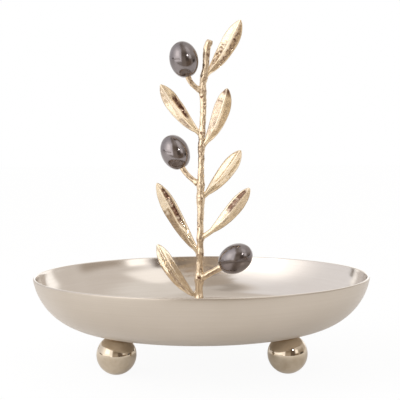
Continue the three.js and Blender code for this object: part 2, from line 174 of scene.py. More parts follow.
@dataclass(frozen=True)
class MetalFinish:
    """A plated metal finish."""

    name: str
    colour: int
    shade: int
    roughness: float
    haze: float
    grain: Grain
    # Colour and extra roughness of the painted highlight along the cast leaves' midribs.
    rib_highlight_colour: int = 0xFFF4E2
    rib_highlight_haze: float = 0.2

    def material(self) -> bpy.types.Material:
        """Makes the finish's material.

        Returns:
            A node material on the piece's own coordinates.
        """
        made = bpy.data.materials.new(self.name)
        made.use_nodes = True
        graph = Graph(made.node_tree)
        place = graph.add("ShaderNodeTexCoord", {}).outputs["Object"]
        share, normal = {
            Grain.TURNED: self._turned,
            Grain.CAST: self._cast,
            Grain.MIRROR: self._mirror,
        }[self.grain](graph, place)
        # On cast finishes the dark colour is also painted shade and painted dark reflections.
        colour = graph.mix(share, linear(self.colour), linear(self.shade))
        roughness = graph.spread(share, self.roughness, self.roughness + self.haze)
        if self.grain is Grain.CAST:
            # The raised midrib of a cast leaf is painted lighter and duller: a painted highlight.
            rib_and_painted_highlight = graph.attribute("rib_and_painted_highlight")
            colour = graph.mix(rib_and_painted_highlight, colour, linear(self.rib_highlight_colour))
            roughness = graph.math("ADD", roughness, graph.math("MULTIPLY", rib_and_painted_highlight, self.rib_highlight_haze))
        metal = graph.add("ShaderNodeBsdfPrincipled", {
            "Base Color": colour, "Roughness": roughness, "Metallic": 1.0, "Normal": normal,
        })
        graph.add("ShaderNodeOutputMaterial", {"Surface": metal.outputs["BSDF"]})
        made.diffuse_color = linear(self.colour)
        return made

    def _turned(self, graph: Graph, place: Socket) -> tuple[Socket, Socket]:
        """Lathe rings, which are noise drawn out round the Z axis.

        Args:
            graph: the material's node tree.
            place: the piece's own coordinates.

        Returns:
            How dull each place is, and its normal.
        """
        ring_scale, blotch_scale, draw_out = 2600.0, 38.0, 0.0006
        ring_depth, ring_strength = 0.00001, 0.18
        bright, dull = 0.3, 0.7
        x, y, z = graph.add("ShaderNodeSeparateXYZ", {"Vector": place}).outputs
        squares = graph.math("ADD", graph.math("MULTIPLY", x, x), graph.math("MULTIPLY", y, y))
        radius = graph.math("SQRT", squares)
        angle = graph.math("MULTIPLY", graph.math("ARCTAN2", y, x), draw_out)
        rings = graph.add("ShaderNodeCombineXYZ", {0: radius, 1: z, 2: angle}).outputs[0]
        fine = graph.cloud(rings, ring_scale, 3.0)
        both = graph.math("ADD", fine, graph.cloud(place, blotch_scale))
        share = graph.step(graph.math("MULTIPLY", both, 0.5), bright, dull)
        return share, graph.bump(fine, ring_depth, ring_strength)

    def _cast(self, graph: Graph, place: Socket) -> tuple[Socket, Socket]:
        """Casting skin with the mesh's pits and painted shade, from its pit attribute, and faint dull patches.

        Args:
            graph: the material's node tree.
            place: the piece's own coordinates.

        Returns:
            How dull each place is, and its normal.
        """
        skin_scale, patch_scale, patch_share = 900.0, 210.0, 0.12
        skin_depth, skin_strength = 0.0001, 0.06
        bright, dull = 0.42, 0.72
        skin = graph.cloud(place, skin_scale, 3.0)
        patches = graph.step(graph.cloud(place, patch_scale), bright, dull)
        # The pit attribute holds pits and painted shade alike.
        share = graph.math("MAXIMUM", graph.attribute("pit"), graph.math("MULTIPLY", patches, patch_share))
        return share, graph.bump(skin, skin_depth, skin_strength)

    def _mirror(self, graph: Graph, place: Socket) -> tuple[Socket, Socket]:
        """Buffed skin with a faint haze and ripple.

        Args:
            graph: the material's node tree.
            place: the piece's own coordinates.

        Returns:
            How dull each place is, and its normal.
        """
        haze_scale, ripple_scale = 160.0, 70.0
        ripple_depth, ripple_strength = 0.00025, 0.25
        bright, dull = 0.35, 0.75
        haze = graph.cloud(place, haze_scale, 3.0)
        ripple = graph.cloud(place, ripple_scale, 1.0)
        return graph.step(haze, bright, dull), graph.bump(ripple, ripple_depth, ripple_strength)


@dataclass(frozen=True)
class Finishes:
    """The finishes of the object, made once each."""

    satin_nickel: MetalFinish = MetalFinish("satin_nickel", 0xC6BBAE, 0xC1B6A8, 0.34, 0.05, Grain.TURNED)
    polished_inside: MetalFinish = MetalFinish("polished_inside", 0xD9D1C8, 0xD4CBC1, 0.12, 0.04, Grain.TURNED)
    polished_nickel: MetalFinish = MetalFinish("polished_nickel", 0xCBBDA9, 0xBBAB95, 0.03, 0.05, Grain.MIRROR)
    # The cast gold finishes' second colour is also the colour of painted shade and painted dark reflections.
    pale_gold: MetalFinish = MetalFinish("pale_gold", 0xF2E5CF, 0x704128, 0.1, 0.12, Grain.CAST)
    gold_bark: MetalFinish = MetalFinish("gold_bark", 0xE9D4B6, 0x6E4835, 0.34, 0.1, Grain.CAST)
    black_nickel: MetalFinish = MetalFinish("black_nickel", 0x8D8584, 0x7E7776, 0.14, 0.06, Grain.MIRROR)
    plain_steel: MetalFinish = MetalFinish("plain_steel", 0x9A9A98, 0x868683, 0.32, 0.12, Grain.MIRROR)


class Workshop:
    """Turns finished meshes into pieces of the object."""

    def __init__(self, finishes: Finishes) -> None:
        """Keeps the finishes, whose materials are made when first used."""
        self.finishes = finishes
        self._made: dict[str, bpy.types.Material] = {}

    def material(self, finish: MetalFinish) -> bpy.types.Material:
        """Gives the one material of a finish.

        Args:
            finish: the finish.

        Returns:
            Its material, which is made the first time.
        """
        if finish.name not in self._made:
            self._made[finish.name] = finish.material()
        return self._made[finish.name]

    def piece(self, bm: bmesh.types.BMesh, name: str, slot: Slot, *finishes: MetalFinish) -> bpy.types.Object:
        """Makes a piece that stands for the solid of its own name.

        Args:
            bm: the finished mesh, in millimetres and in place.
            name: name of the solid that it stands for; the piece gets it with _piece added.
            slot: the record's slot of its finish; not used.
            finishes: the finishes of the mesh's material indices.

        Returns:
            The piece's object.
        """
        bmesh.ops.transform(bm, matrix=Matrix.Scale(MM, 4), verts=bm.verts[:])
        for face in bm.faces:
            face.smooth = True
        mesh = bpy.data.meshes.new(name + "_piece")
        bm.to_mesh(mesh)
        bm.free()
        for finish in finishes:
            mesh.materials.append(self.material(finish))
        mesh.set_sharp_from_angle(angle=SHARP_ANGLE)
        made = bpy.data.objects.new(name + "_piece", mesh)
        bpy.context.scene.collection.objects.link(made)
        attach(made, "root")
        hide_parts(name)
        LOG.info("%s: %d faces", made.name, len(mesh.polygons))
        return made


class Section:
    """A turned piece's outline beside the Z axis, drawn by pulling its last point along."""

    def __init__(self, bm: bmesh.types.BMesh, radius: float, height: float) -> None:
        """Starts the outline at a point."""
        self.bm = bm
        self.first = self.last = bm.verts.new((radius, 0, height))

    def line(self, radius: float, height: float) -> None:
        """Pulls a straight edge to a point."""
        self.last = bmesh.ops.extrude_vert_indiv(self.bm, verts=[self.last])["verts"][0]
        self.last.co = (radius, 0, height)

    def arc(self, radius: float, height: float, turn: float, steps: int) -> None:
        """Swings the last point round a centre.

        Args:
            radius: the centre's distance from the Z axis.
            height: the centre's height.
            turn: angle in radians, positive from outwards to upwards.
            steps: number of edges.
        """
        made = bmesh.ops.spin(
            self.bm, geom=[self.last], cent=(radius, 0, height), axis=(0, 1, 0), angle=-turn, steps=steps)
        self.last = next(e for e in made["geom_last"] if isinstance(e, bmesh.types.BMVert))

    def close(self) -> None:
        """Joins the last point to the first."""
        self.bm.edges.new((self.last, self.first))

    def turn(self, segments: int) -> None:
        """Turns the outline about the Z axis into a closed skin.

        Args:
            segments: number of steps round the axis.
        """
        bmesh.ops.spin(
            self.bm, geom=self.bm.verts[:] + self.bm.edges[:], cent=(0, 0, 0), axis=(0, 0, 1),
            angle=math.tau, steps=segments, use_merge=True)
        bmesh.ops.remove_doubles(self.bm, verts=self.bm.verts[:], dist=MERGE_DISTANCE)
        bmesh.ops.recalc_face_normals(self.bm, faces=self.bm.faces[:])


class Path:
    """A smooth line in space that is walked by shares of its length."""

    STEPS = 400
    STRIDE = 1e-4

    def __init__(self, point: Line) -> None:
        """Measures the line.

        Args:
            point: the line's point at a value from 0 to 1.
        """
        self._point = point
        self._lengths = [0.0]
        self._frames: dict[tuple[float, float], tuple[Vector, Vector, Vector]] = {}
        before = point(0.0)
        for i in range(1, self.STEPS + 1):
            after = point(i / self.STEPS)
            self._lengths.append(self._lengths[-1] + (after - before).length)
            before = after
        self.length = self._lengths[-1]

    def _value(self, share: float) -> float:
        """Looks up where a share of the length lies.

        Args:
            share: share of the length.

        Returns:
            The point function's value there.
        """
        goal = min(1.0, max(0.0, share)) * self.length
        low, high = 0, self.STEPS
        while high - low > 1:
            middle = (low + high) // 2
            low, high = (middle, high) if self._lengths[middle] <= goal else (low, middle)
        span = self._lengths[high] - self._lengths[low]
        return (low + (goal - self._lengths[low]) / span) / self.STEPS

    def at(self, share: float) -> Vector:
        """The point at a share of the length."""
        return self._point(self._value(share))

    def frame(self, share: float, roll: float = 0.0) -> tuple[Vector, Vector, Vector]:
        """The point at a share of the length, with directions across the line and facing the front.

        Args:
            share: share of the length.
            roll: turn about the line in radians.

        Returns:
            The point, the direction across and the direction to the front.
        """
        if (share, roll) not in self._frames:
            value = self._value(share)
            ahead, behind = min(1.0, value + self.STRIDE), max(0.0, value - self.STRIDE)
            along = (self._point(ahead) - self._point(behind)).normalized()
            front = Vector((0, -1, 0))
            front = (front - along * front.dot(along)).normalized()
            front = Matrix.Rotation(roll, 3, along) @ front
            self._frames[share, roll] = self._point(value), along.cross(front), front
        return self._frames[share, roll]


def bent_line(points: list[Vector]) -> Line:
    """A rounded line through points.

    Args:
        points: the points in order.

    Returns:
        A function of the line's point at a value from 0 to 1.
    """
    ends = [points[0] * 2 - points[1], *points, points[-1] * 2 - points[-2]]

    def point(value: float) -> Vector:
        """Finds a point of the line.

        Args:
            value: place on the line, from 0 to 1.

        Returns:
            The point.
        """
        spans = len(points) - 1
        span = min(spans - 1, int(value * spans))
        share = value * spans - span
        a, b, c, d = ends[span:span + 4]
        before, during, after = ((q - p).length ** 0.5 for p, q in ((a, b), (b, c), (c, d)))
        leave = ((b - a) / before - (c - a) / (before + during) + (c - b) / during) * during
        arrive = ((c - b) / during - (d - b) / (during + after) + (d - c) / after) * during
        square, cube = share ** 2, share ** 3
        return (b + leave * share + ((c - b) * 3 - leave * 2 - arrive) * square
                + ((b - c) * 2 + leave + arrive) * cube)

    return point


def bow_line(start: Vector, bend: Vector, end: Vector) -> Line:
    """A line from start to end that is pulled towards a bend."""
    return lambda t: start * (1 - t) ** 2 + bend * (2 * t * (1 - t)) + end * t ** 2


def rising(turn: float, rise: float) -> Vector:
    """Direction at a turn from +X and a rise above level, both in degrees."""
    level, up = math.radians(turn), math.radians(rise)
    return Vector((math.cos(level) * math.cos(up), math.sin(level) * math.cos(up), math.sin(up)))


def on_limb(angle: float, girth: float, height: float) -> Vector:
    """Place for noise at an angle round a limb and a height along it."""
    return Vector((math.cos(angle) * girth, math.sin(angle) * girth, height))


def rough_noise(place: Vector, fineness: float, shift: tuple[float, float, float]) -> float:
    """Noise with half as much of a finer noise, taken at a shifted place, on top."""
    return noise.noise(place) + 0.5 * noise.noise(place * fineness + Vector(shift))


def pit_depth(place: Vector, rarity: float, spread: float = 0.0) -> float:
    """How deep a casting pit is at a place, from 0 to 1.

    Args:
        place: the place, with pits about one unit apart.
        rarity: 0 for pits all over, more for pits in patches.
        spread: how much wider than plain pits they are.

    Returns:
        The share of a full pit.
    """
    brim, bottom = 0.22, 0.5
    patch_fineness, patch_edge = 0.23, 0.12
    blob = rough_noise(place, 2.1, (1.3, 7.7, 4.1))
    patch = noise.noise(place * patch_fineness + Vector((3.7, 8.1, 2.2)))
    return ease(blob, brim - spread, bottom - spread) * ease(patch, rarity - patch_edge, rarity + patch_edge)


def pull_limb(path: Path, shape: LimbShape, rings: int, sides: int) -> bmesh.types.BMesh:
    """Makes a round limb along a line.

    Args:
        path: the line.
        shape: radius and tint of pits and painted shade by share of the length and angle round it.
        rings: number of lengths.
        sides: number of sides.

    Returns:
        The limb's mesh, with its pits and painted shade as an attribute.
    """
    bm = bmesh.new()
    bmesh.ops.create_cone(bm, cap_ends=True, segments=sides, radius1=1, radius2=1, depth=1)
    upright = [e for e in bm.edges if abs(e.verts[0].co.z - e.verts[1].co.z) > 0.5]
    bmesh.ops.subdivide_edges(bm, edges=upright, cuts=rings - 1, use_grid_fill=True)
    # The pit layer holds pits and also painted shade in creases and grooves.
    pits = bm.verts.layers.float.new("pit")
    for vert in bm.verts:
        share = round(vert.co.z + 0.5, SHARE_DIGITS)
        # Known fault: across, front and the line are left-handed, so the limb comes out inside out.
        point, across, front = path.frame(share)
        radius, vert[pits] = shape(share, math.atan2(vert.co.y, vert.co.x))
        vert.co = point + (across * vert.co.x + front * vert.co.y) * radius
    bmesh.ops.recalc_face_normals(bm, faces=bm.faces[:])
    return bm


@dataclass
class Dish:
    """Spun shell: a tight side arc that runs into a wide floor arc. Sizes in millimetres."""

    underside: float
    diameter: float = 164.99
    wall: float = 1.2
    side_arc: float = 29.0
    floor_arc: float = 335.0
    rim_lean: float = math.radians(9.6)
    hole_radius: float = 1.8
    polish_limit: float = 0.2
    floor_steps: int = 26
    side_steps: int = 30
    lip_steps: int = 10
    segments: int = 216

    def build(self, workshop: Workshop) -> bpy.types.Object:
        """Turns the shell and finishes its two faces.

        Args:
            workshop: maker of the piece.

        Returns:
            The dish's object.
        """
        lip_arc = self.side_arc - self.wall / 2
        centre = (self.diameter - self.wall) / 2 - lip_arc * math.cos(self.rim_lean)
        meeting = math.acos(centre / (self.floor_arc - self.side_arc))
        floor_height = self.underside + self.floor_arc
        side_height = floor_height - (self.floor_arc - self.side_arc) * math.sin(meeting)
        lip = (centre + lip_arc * math.cos(self.rim_lean), side_height - lip_arc * math.sin(self.rim_lean))
        outer = -math.acos(self.hole_radius / self.floor_arc)
        inner = -math.acos(self.hole_radius / (self.floor_arc - self.wall))
        bm = bmesh.new()
        section = Section(bm, self.hole_radius, floor_height + self.floor_arc * math.sin(outer))
        section.arc(0, floor_height, -meeting - outer, self.floor_steps)
        section.arc(centre, side_height, meeting - self.rim_lean, self.side_steps)
        section.arc(*lip, math.pi, self.lip_steps)
        section.arc(centre, side_height, self.rim_lean - meeting, self.side_steps)
        section.arc(0, floor_height, inner + meeting, self.floor_steps)
        section.close()
        section.turn(self.segments)
        for face in bm.faces:
            outwards = face.calc_center_median().to_2d().normalized()
            facing_in = face.normal.z - face.normal.to_2d().dot(outwards)
            face.material_index = int(facing_in > self.polish_limit)
        finishes = workshop.finishes
        return workshop.piece(bm, "dish", Slot.SATIN_NICKEL, finishes.satin_nickel, finishes.polished_inside)


class FootPlace(Enum):
    """The feet's places, as degrees from +X."""

    FRONT_LEFT = 210
    FRONT_RIGHT = 330
    REAR = 90


@dataclass
class BallFoot:
    """Polished ball, faced and bored towards the dish and ground flat where it stands. Millimetres."""

    place: FootPlace
    floor_arc: float
    circle_radius: float = 46.8
    diameter: float = 19.05
    table_face: float = 4.4
    seat_face_radius: float = 4.15
    recess_radius: float = 2.4
    recess_depth: float = 1.0
    bore_radius: float = 1.8
    bore_depth: float = 8.0
    steps: int = 36
    segments: int = 72

    def build(self, workshop: Workshop) -> bpy.types.Object:
        """Turns the ball, tilts it square to the dish and grinds its foot.

        Args:
            workshop: maker of the piece.

        Returns:
            The ball's object.
        """
        radius = self.diameter / 2
        seat = math.sqrt(radius ** 2 - self.seat_face_radius ** 2)
        stand = math.sqrt(radius ** 2 - (self.table_face / 2) ** 2)
        tilt = math.asin(self.circle_radius / (self.floor_arc + JOINT_GAP + seat))
        recess = seat - self.recess_depth
        bm = bmesh.new()
        section = Section(bm, 0, -radius)
        section.arc(0, 0, math.pi / 2 + math.acos(self.seat_face_radius / radius), self.steps)
        section.line(self.recess_radius, seat)
        section.line(self.recess_radius, recess)
        section.line(self.bore_radius, recess)
        section.line(self.bore_radius, recess - self.bore_depth)
        section.line(0, recess - self.bore_depth)
        section.turn(self.segments)
        place = (Matrix.Rotation(math.radians(self.place.value), 4, "Z")
                 @ Matrix.Translation((self.circle_radius, 0, stand)) @ Matrix.Rotation(-tilt, 4, "Y"))
        bmesh.ops.transform(bm, matrix=place, verts=bm.verts[:])
        cut = bmesh.ops.bisect_plane(
            bm, geom=bm.verts[:] + bm.edges[:] + bm.faces[:], dist=CUT_TOLERANCE, plane_co=(0, 0, 0),
            plane_no=(0, 0, -1), clear_outer=True)["geom_cut"]
        rim = [e for e in cut if isinstance(e, bmesh.types.BMEdge)]
        bmesh.ops.edgeloop_fill(bm, edges=rim)
        bmesh.ops.recalc_face_normals(bm, faces=bm.faces[:])
        name = f"ball_foot_{self.place.name.lower()}"
        return workshop.piece(bm, name, Slot.POLISHED_NICKEL, workshop.finishes.polished_nickel)


@dataclass(frozen=True)
class Swell:
    """Thicker stretch of the stem: its place by share of the height, its rise and length in millimetres."""

    share: float
    rise: float
    length: float


@dataclass
class Stem:
    """Cast twig with a flared foot, knots where things spring and a blunt tip. Millimetres.

    The stations are the shares of the height at which leaves and stalks spring, and each bend is a share of the
    height with the line's place there, right and back.
    """

    base: float
    stations: list[float]
    height: float = 143.4
    diameter: float = 2.9
    foot_diameter: float = 7.6
    flare_height: float = 7.0
    knot_rise: float = 0.42
    knot_length: float = 2.4
    swells: tuple[Swell, ...] = (Swell(0.43, 0.3, 15.0), Swell(0.1, 0.26, 14.0), Swell(0.185, 0.32, 6.0))
    tip_swell: float = 0.3
    tip_swell_length: float = 22.0
    tip_rounding: float = 1.4
    tip_bluntness: float = 0.7
    bark_relief: float = 0.27
    bark_girth: float = 1.4
    bark_fineness: float = 0.38
    pit_sink: float = 0.22
    pit_girth: float = 1.2
    pit_fineness: float = 0.55
    pit_rarity: float = 0.02
    tip_pitting: float = 0.3
    tip_pitting_start: float = 0.84
    tip_pitting_full: float = 0.9
    # Painted shade in the creases at the knots: its length, strength and raggedness.
    crease_length: float = 1.5
    crease_painted_shade: float = 0.7
    crease_fineness: float = 1.7
    rings: int = 420
    sides: int = 32
    bends: tuple[tuple[float, float, float], ...] = (
        (0, 0, 0), (0.04, 0, 0), (0.1, -1.2, 0), (0.29, -0.5, -0.6), (0.47, -0.1, 0.3), (0.66, 0.6, -0.4),
        (0.77, 1.5, 0), (0.85, 1.4, 0.3), (0.91, 2.8, 0), (0.97, 3.5, -0.3), (1, 5, -0.3),
    )
    path: Path = field(init=False)

    def __post_init__(self) -> None:
        """Draws the line that the twig follows."""
        self.path = Path(bent_line([Vector((x, y, self.base + s * self.height)) for s, x, y in self.bends]))

    def _near_station(self, share: float, length: float) -> float:
        """How near a share of the height is to a station: 1 there, fading over a length."""
        return max(bell((share - station) * self.height, length) for station in self.stations)

    def radius(self, share: float) -> float:
        """The twig's plain radius at a share of its length.

        Args:
            share: share of the length.

        Returns:
            The radius without bark.
        """
        height = share * self.height
        flare = (self.foot_diameter - self.diameter) / 2 * math.exp(-height / self.flare_height)
        knot = self.knot_rise * self._near_station(share, self.knot_length)
        swell = self.tip_swell * math.exp((height - self.height) / self.tip_swell_length)
        swell += sum(s.rise * bell((share - s.share) * self.height, s.length) for s in self.swells)
        past_tip = max(0.0, 1 - (self.height - height) / self.tip_rounding)
        return (self.diameter / 2 + flare + knot + swell) * (1 - (1 - self.tip_bluntness) * past_tip ** 2)

    def bark(self, share: float, angle: float) -> tuple[float, float]:
        """The twig's surface with its ridges, pits and painted shade in the creases at its knots.

        Args:
            share: share of the length.
            angle: angle round the twig in radians.

        Returns:
            The radius and the share of a full tint of pits and painted crease shade.
        """
        height = share * self.height
        ridges = rough_noise(on_limb(angle, self.bark_girth, height * self.bark_fineness), 2.3, (5, 1, 9))
        place = on_limb(angle, self.pit_girth, height * self.pit_fineness)
        more = self.tip_pitting * ease(share, self.tip_pitting_start, self.tip_pitting_full)
        pits = pit_depth(place, self.pit_rarity - more)
        # Painted shade, ragged, in the creases at the knots.
        ragged = ease(noise.noise(place * self.crease_fineness), -0.05, 0.35)
        crease = self.crease_painted_shade * self._near_station(share, self.crease_length) * ragged
        return self.radius(share) + self.bark_relief * ridges - self.pit_sink * pits, max(pits, crease)

    def build(self, workshop: Workshop) -> bpy.types.Object:
        """Pulls the twig along its line and presses the bark into it."""
        bm = pull_limb(self.path, self.bark, self.rings, self.sides)
        return workshop.piece(bm, "branch_stem", Slot.PALE_GOLD, workshop.finishes.gold_bark)


@dataclass(frozen=True)
class Hollow:
    """Sunken hollow on one half of a leaf with a painted dark reflection, by shares of its length and half
    width.
    """

    side: int
    start: float
    end: float
    inner: float
    outer: float
    depth: float
    # Strength of the painted dark reflection in the hollow.
    tint: float

    def weight(self, share: float, x: float, place: Vector) -> float:
        """How far the hollow reaches at a place, from 0 to 1.

        Args:
            share: share of the leaf's length.
            x: place across, from -1 to 1.
            place: the place in millimetres, for the ragged edge.

        Returns:
            The share of the hollow's full depth.
        """
        if x * self.side <= 0:
            return 0.0
        along = ease(share, self.start - 0.06, self.start + 0.06)
        along *= 1 - ease(share, self.end - 0.06, self.end + 0.04)
        across = ease(abs(x), self.inner - 0.08, self.inner + 0.08)
        across *= 1 - ease(abs(x), self.outer - 0.14, self.outer + 0.1)
        ragged = 0.95 + 0.9 * noise.noise(place * 0.6)
        return min(1.0, max(0.0, along * across * ragged))


@dataclass
class Leaf:
    """Cast leaf on a short petiole, with a raised midrib. Millimetres and degrees."""

    name: str
    station: float
    turn: float
    rise: float
    length: float
    width: float
    petiole: float
    bow: float
    lift: float
    roll: float
    fold: float
    pitting: float
    seed: float
    hollows: tuple[Hollow, ...] = ()
    pit_pitch: float = 1.2
    pit_sink: float = 0.2
    hook: float = 0.0
    hook_share: float = 0.22
    root: float = 0.9
    petiole_width: float = 2.6
    petiole_thickness: float = 2.2
    petiole_flare: float = 0.5
    petiole_flare_length: float = 2.6
    # Painted shade along the leaf's rim.
    rim_painted_shade: float = 0.34
    widest_share: float = 0.68
    base_fullness: float = 0.85
    tip_fullness: float = 0.75
    unevenness: float = 0.035
    opening: float = 8.0
    tip_width: float = 0.5
    edge_thickness: float = 0.8
    least_thickness: float = 0.08
    fold_rounding: float = 0.4
    rib_thickness: float = 1.5
    rib_spread: float = 1.1
    rib_rise: float = 0.3
    rib_width: float = 0.45
    rib_start: float = 0.3
    rib_full: float = 0.42
    bow_share: float = 0.3
    columns: int = 36
    rows: int = 130

    def path(self, stem: Stem) -> Path:
        """Draws the midrib's line.

        Args:
            stem: the twig that the leaf springs from.

        Returns:
            The line from the stem's middle to the leaf's tip, hooked where it starts.
        """
        start = stem.path.at(self.station)
        chord, outwards = rising(self.turn, self.rise), rising(self.turn, self.rise - 90)
        bend = start + chord * (self.bow_share * self.length) + outwards * self.bow
        tip = start + chord * self.length - Vector((0, self.lift, 0))
        line = bow_line(start, bend, tip)
        return Path(lambda t: line(t) + Vector((0, 0, self.hook * max(0.0, 1 - t / self.hook_share) ** 2)))

    def half_width(self, share: float) -> float:
        """Half of the leaf's width.

        Args:
            share: share of the length.

        Returns:
            The half width there, without the edge's unevenness.
        """
        narrow, stalk_end = self.petiole_width / 2, self.petiole / self.length
        if share < stalk_end:
            return narrow + self.petiole_flare * (1 - ease(share * self.length, 0, self.petiole_flare_length))
        if share < self.widest_share:
            along = (share - stalk_end) / (self.widest_share - stalk_end)
            return narrow + (self.width / 2 - narrow) * math.sin(math.pi / 2 * along ** self.base_fullness)
        along = (share - self.widest_share) / (1 - self.widest_share)
        return self.tip_width / 2 + (self.width - self.tip_width) / 2 * (1 - along ** 2) ** self.tip_fullness

    def _half_thickness(self, x: float, sideways: float, opened: float) -> float:
        """Half of the thickness: round on the petiole, flat with a thicker middle on the blade.

        Args:
            x: place across, from -1 to 1.
            sideways: place across in millimetres.
            opened: 0 on the petiole, 1 on the blade.

        Returns:
            The half thickness without the raised rib.
        """
        petiole = math.sqrt(max(0.0, 1 - x * x)) * self.petiole_thickness / 2
        blade = blend(self.edge_thickness, self.rib_thickness, bell(sideways, self.rib_spread)) / 2
        return blend(petiole, blade * (1 - abs(x) ** 5) ** 0.5 + self.least_thickness / 2, opened)

    def _pits(self, x: float, sideways: float, place: Vector, hollow: float) -> float:
        """Pits beside the rib and inside the edge, deepest in the hollows.

        Args:
            x: place across, from -1 to 1.
            sideways: place across in millimetres.
            place: the place in millimetres, for the noise.
            hollow: how far a hollow reaches there, from 0 to 1.

        Returns:
            The share of a full pit.
        """
        pits = pit_depth(place / self.pit_pitch, 0.25 - 0.6 * self.pitting, 0.12 * self.pitting)
        beside_rib = ease(abs(sideways), 0.5, 1.0)
        inside_edge = 1 - ease(abs(x), 0.8, 0.95)
        return pits * beside_rib * inside_edge * ease(self.pitting, 0.1, 0.4) * blend(0.12, 0.9, hollow)

    def surface(self, share: float, x: float, sideways: float, side: int) -> tuple[float, float, float]:
        """Height over the midrib's line, tint and painted midrib highlight at a place on the leaf.

        Args:
            share: share of the length.
            x: place across, from -1 to 1.
            sideways: place across in millimetres.
            side: 1 on the front, -1 on the back.

        Returns:
            The height to the front, the tint of pits and painted shade, and the painted midrib highlight.
        """
        opened = ease(share * self.length - self.petiole, 0, self.opening)
        place = Vector((sideways, share * self.length, self.seed))
        slope = math.tan(math.radians(self.fold))
        folded = slope * (math.hypot(sideways, self.fold_rounding) - self.fold_rounding)
        waves = 0.1 * noise.noise(place * 0.22) + 0.05 * noise.noise(place * 0.55)
        middle = opened * (folded + waves)
        half = self._half_thickness(x, sideways, opened)
        if side < 0:
            return middle - half, 0.0, 0.0
        # Mask of the raised midrib, which is also painted lighter as a painted highlight.
        rib_and_painted_highlight = bell(sideways, self.rib_width) * ease(share, self.rib_start, self.rib_full) * (1 - share ** 8)
        weights = [hollow.weight(share, x, place) for hollow in self.hollows]
        pits = opened * self._pits(x, sideways, place, max(weights, default=0.0))
        sunk = self.pit_sink * pits + sum(h.depth * weight for h, weight in zip(self.hollows, weights))
        # Painted shade along the rim; the hollows' tint is a painted dark reflection.
        edge = self.rim_painted_shade * ease(abs(x), 0.9, 0.99)
        tint = max(pits, edge, *(h.tint * weight for h, weight in zip(self.hollows, weights)))
        return middle + half + self.rib_rise * rib_and_painted_highlight * opened - sunk, tint, rib_and_painted_highlight

    def build(self, workshop: Workshop, stem: Stem) -> bpy.types.Object:
        """Lays a grid along the midrib, gives it a back and shapes both.

        Args:
            workshop: maker of the piece.
            stem: the twig that the leaf springs from.

        Returns:
            The leaf's object.
        """
        path, roll = self.path(stem), math.radians(self.roll)
        start = self.root / path.length
        bm = bmesh.new()
        bmesh.ops.create_grid(bm, x_segments=self.columns, y_segments=self.rows, size=1)
        made = bmesh.ops.extrude_face_region(bm, geom=bm.faces[:])["geom"]
        # Known fault: the finished back lies on the front. The attributes that are added next probably renew the
        # vertex references, so that no vertex is found in this set.
        back = {e for e in made if isinstance(e, bmesh.types.BMVert)}
        # The pit layer holds pits, painted rim shade and painted dark reflections; the other holds the painted
        # midrib highlight.
        pits, rib_and_painted_highlight = (bm.verts.layers.float.new(name) for name in ("pit", "rib_and_painted_highlight"))
        for vert in bm.verts:
            share = round(blend(start, 1, (vert.co.y + 1) / 2), SHARE_DIGITS)
            point, across, front = path.frame(share, roll)
            x = math.sin(vert.co.x * math.pi / 2)
            edge_place = Vector((share * 7, self.seed, 3 if x > 0 else 8))
            sideways = x * self.half_width(share) * (1 + self.unevenness * noise.noise(edge_place))
            height, vert[pits], vert[rib_and_painted_highlight] = self.surface(share, x, sideways, -1 if vert in back else 1)
            vert.co = point + across * sideways + front * height
        bmesh.ops.recalc_face_normals(bm, faces=bm.faces[:])
        return workshop.piece(bm, self.name, Slot.PALE_GOLD, workshop.finishes.pale_gold)


